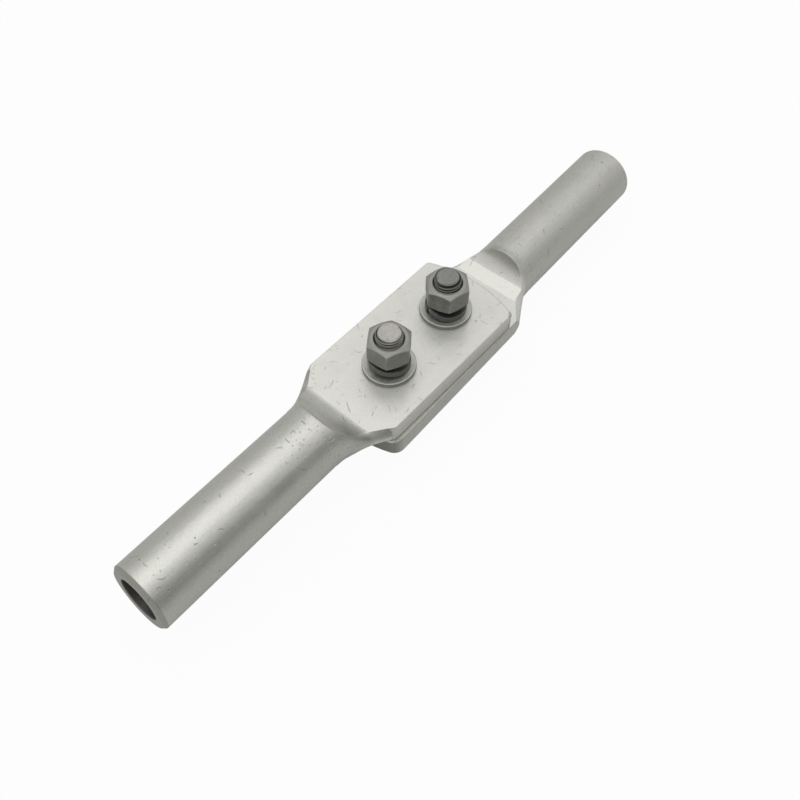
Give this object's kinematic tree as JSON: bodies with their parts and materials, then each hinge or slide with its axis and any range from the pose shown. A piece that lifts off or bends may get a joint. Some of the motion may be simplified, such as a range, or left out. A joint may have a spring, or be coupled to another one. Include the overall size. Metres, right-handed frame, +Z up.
{
  "type": "bolted jumper connector",
  "caption": "Bolted aluminium jumper connector with compression terminals joined flag to flag by bolts, spring washers and nuts",
  "frame": {"origin": "under the middle of the whole connector, at the height of its lowest point", "axes": "+X along the connector from the near barrel to the far barrel, +Z up on the nuts' side"},
  "size_m": [0.317, 0.0514, 0.0519],
  "materials": {
    "aluminium": "satin, drawn tube with small dents and scratches",
    "zinc_bolt": "dull hot-dip zinc",
    "zinc_nut": "dull hot-dip zinc",
    "zinc_dark": "dark dull zinc",
    "zinc_washer": "dull hot-dip zinc"
  },
  "bodies": {
    "connector": {"near_terminal": "aluminium", "near_bolt": "zinc_bolt", "near_flat_washer": "zinc_washer", "near_head_washer": "zinc_washer", "far_terminal": "aluminium", "far_bolt": "zinc_bolt", "far_flat_washer": "zinc_washer", "far_head_washer": "zinc_washer"},
    "near_turning": {"near_spring_washer": "zinc_dark"},
    "near_climbing": {"near_nut": "zinc_nut"},
    "far_turning": {"far_spring_washer": "zinc_dark"},
    "far_climbing": {"far_nut": "zinc_nut"}
  },
  "joints": [
    {"name": "near_nut_turn", "type": "hinge", "parent": "connector", "child": "near_turning", "pos_m": [-0.01895, -0.00047, 0.031], "axis": [0, 0, 1], "range_deg": [0, 2160]},
    {"name": "near_nut_climb", "type": "slide", "parent": "near_turning", "child": "near_climbing", "axis": [0, 0, 1], "range_m": [0, 0.0105]},
    {"name": "far_nut_turn", "type": "hinge", "parent": "connector", "child": "far_turning", "pos_m": [0.02105, 0.00073, 0.031], "axis": [0, 0, 1], "range_deg": [0, 2160]},
    {"name": "far_nut_climb", "type": "slide", "parent": "far_turning", "child": "far_climbing", "axis": [0, 0, 1], "range_m": [0, 0.0105]}
  ],
  "couplings": [
    {"joint": "near_nut_climb", "follows": "near_nut_turn", "m_per_rad": 0.00027852},
    {"joint": "far_nut_climb", "follows": "far_nut_turn", "m_per_rad": 0.00027852}
  ]
}
